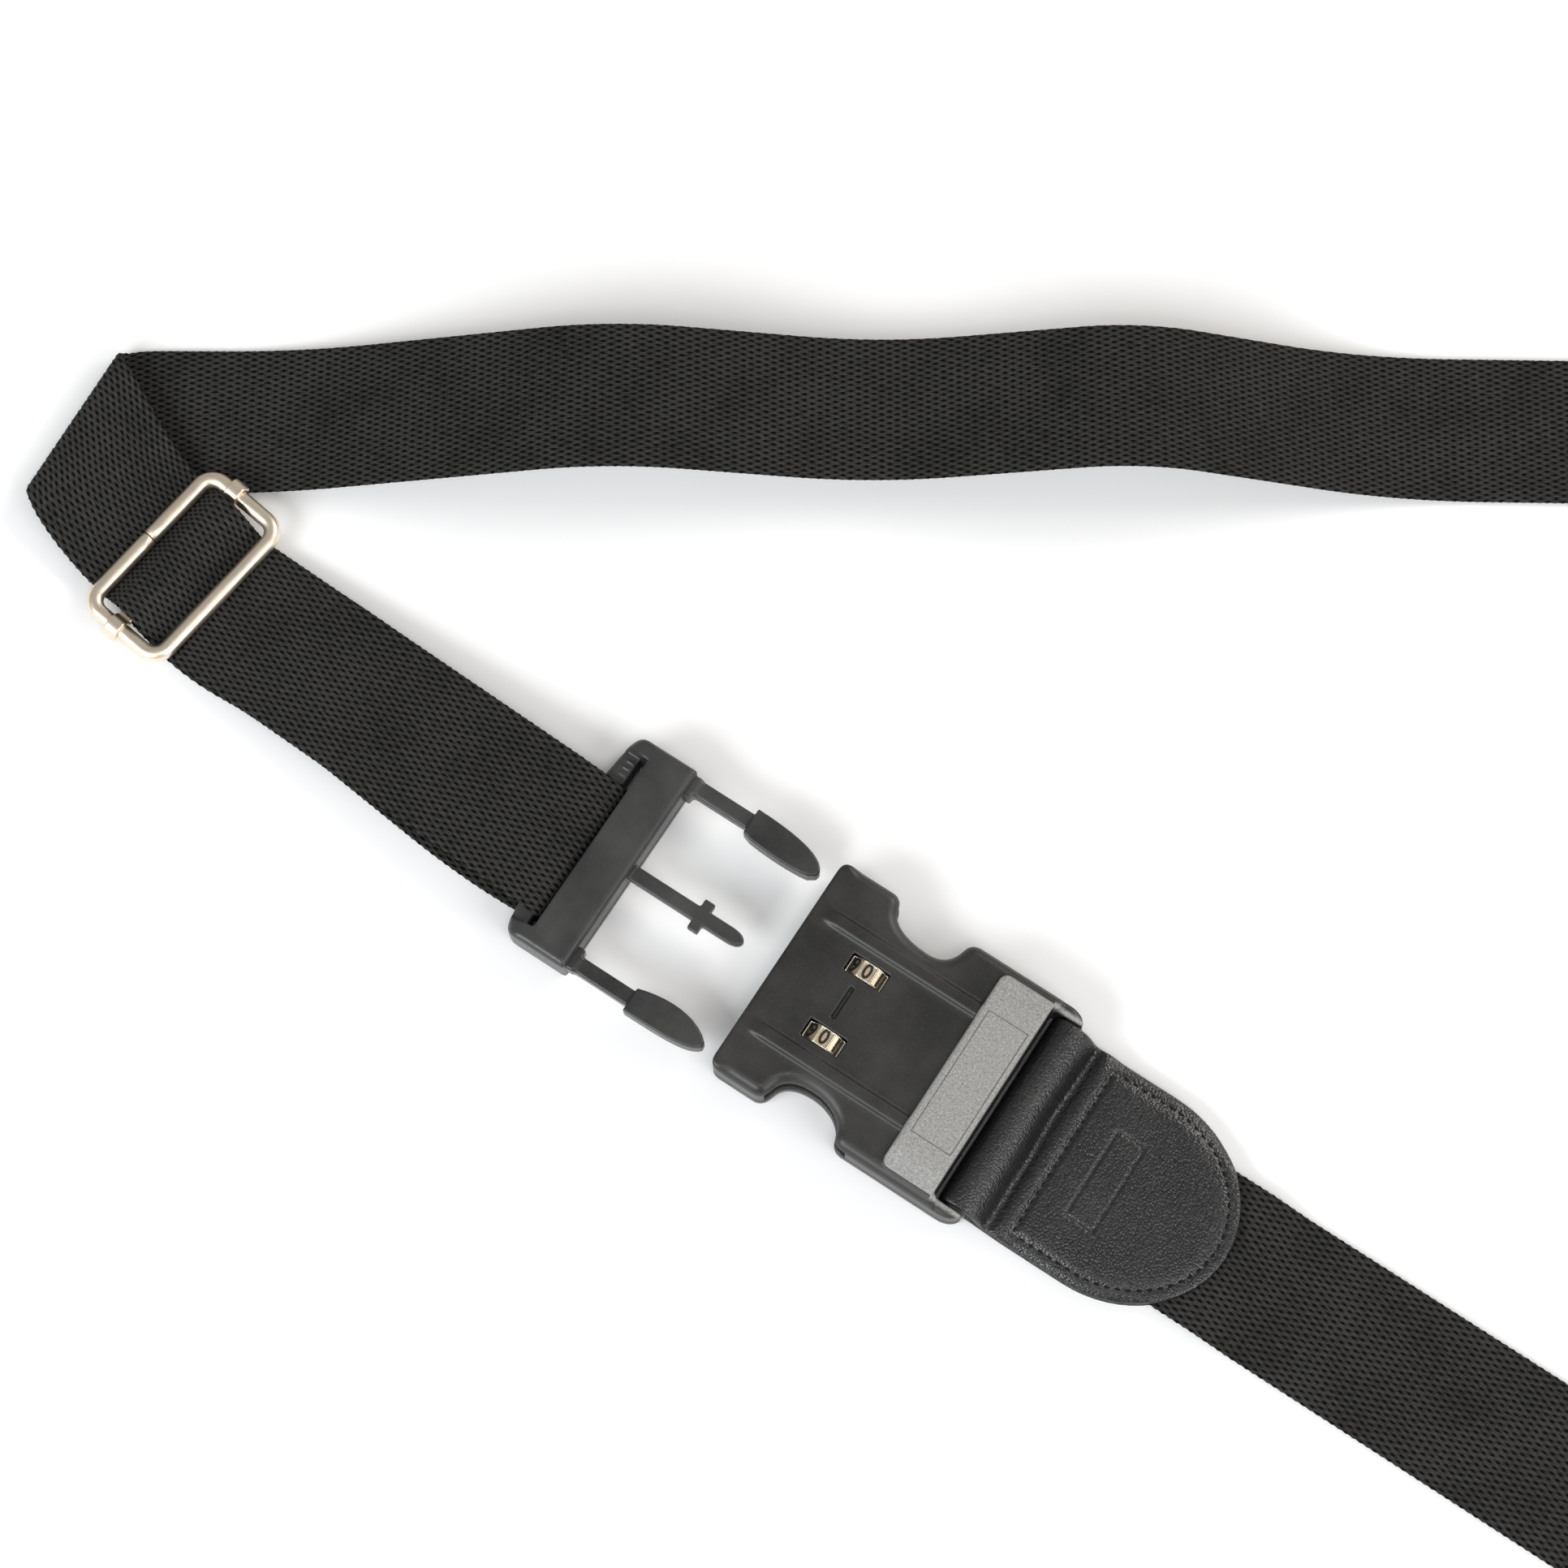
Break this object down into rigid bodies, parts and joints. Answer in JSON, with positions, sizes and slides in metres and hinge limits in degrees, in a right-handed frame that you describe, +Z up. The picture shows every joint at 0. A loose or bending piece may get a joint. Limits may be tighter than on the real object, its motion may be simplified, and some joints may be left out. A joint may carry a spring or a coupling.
{
  "type": "luggage strap",
  "caption": "Flat woven luggage strap with a side-release buckle that holds a two-dial combination lock, a wire slider and a rounded leather tab.",
  "frame": {"origin": "underside of the lock housing, straight below the axis that both dials turn on", "axes": "+X from the plug towards the socket and the leather tab, +Y across the buckle, +Z up off the surface that the strap lies on"},
  "size_m": [0.5075, 0.2862, 0.023],
  "materials": {
    "shell_plastic": "fine moulded texture, satin",
    "plug_plastic": "smooth satin",
    "webbing": "plain weave",
    "tab_leather": "smooth with a fine grain",
    "gold_steel": "champagne plated, polished",
    "dial_brass": "satin",
    "brass": "turned",
    "steel": "plain"
  },
  "bodies": {
    "housing": {"top_shell": "shell_plastic", "bottom_shell": "shell_plastic", "shell_screw_1": "steel", "shell_screw_2": "steel", "shell_screw_3": "steel", "shell_screw_4": "steel", "dial_axle_1": "steel", "dial_axle_2": "steel", "clutch_spring_1": "steel", "clutch_spring_2": "steel", "detent_spring_1": "steel", "detent_spring_2": "steel", "webbing_upper_run": "webbing", "webbing_upper_corner": "webbing", "webbing_hank": "webbing", "webbing_lower_corner": "webbing", "webbing_lower_run": "webbing"},
    "adjuster": {"slider_frame": "gold_steel", "webbing_slider_pass": "webbing", "webbing_double_top": "webbing", "webbing_double_bottom": "webbing"},
    "slider_bar": {"slider_bar": "gold_steel", "webbing_bar_end": "webbing"},
    "plug": {"plug_body": "plug_plastic", "webbing_plug_loop": "webbing"},
    "prong_left": {"prong_left": "plug_plastic"},
    "prong_right": {"prong_right": "plug_plastic"},
    "dial_1": {"dial_wheel_1": "dial_brass", "lock_cam_1": "brass"},
    "dial_2": {"dial_wheel_2": "dial_brass", "lock_cam_2": "brass"},
    "tab": {"leather_tab": "tab_leather", "webbing_tab_end": "webbing"}
  },
  "joints": [
    {"name": "buckle_slide", "type": "slide", "parent": "housing", "child": "adjuster", "axis": [1, 0, 0], "range_m": [0, 0.0427], "deforming": ["webbing_upper_run", "prong_left", "prong_right"]},
    {"name": "strap_adjust", "type": "slide", "parent": "adjuster", "child": "plug", "axis": [0.999, -0.0436, 0], "range_m": [-0.04, 0], "deforming": ["webbing_double_top", "webbing_double_bottom"]},
    {"name": "slider_bar_shift", "type": "slide", "parent": "adjuster", "child": "slider_bar", "axis": [0.9917, -0.1288, 0], "range_m": [-0.002, 0.002], "deforming": ["webbing_slider_pass"]},
    {"name": "prong_left_flex", "type": "hinge", "parent": "plug", "child": "prong_left", "pos_m": [-0.0604, 0.0268, 0.008], "axis": [0, 0, -1], "range_deg": [0, 6.5], "stiffness_Nm_per_rad": 0.6},
    {"name": "prong_right_flex", "type": "hinge", "parent": "plug", "child": "prong_right", "pos_m": [-0.0604, -0.0268, 0.008], "axis": [0, 0, 1], "range_deg": [0, 6.5], "stiffness_Nm_per_rad": 0.6},
    {"name": "dial_1_turn", "type": "hinge", "parent": "housing", "child": "dial_1", "pos_m": [0, 0.0097, 0.008], "axis": [0, 1, 0], "continuous": true},
    {"name": "dial_2_turn", "type": "hinge", "parent": "housing", "child": "dial_2", "pos_m": [0, -0.0097, 0.008], "axis": [0, 1, 0], "continuous": true},
    {"name": "tab_swing", "type": "hinge", "parent": "housing", "child": "tab", "pos_m": [0.049, 0, 0.0075], "axis": [0, -1, 0], "range_deg": [0, 60], "deforming": ["webbing_lower_run"]}
  ]
}
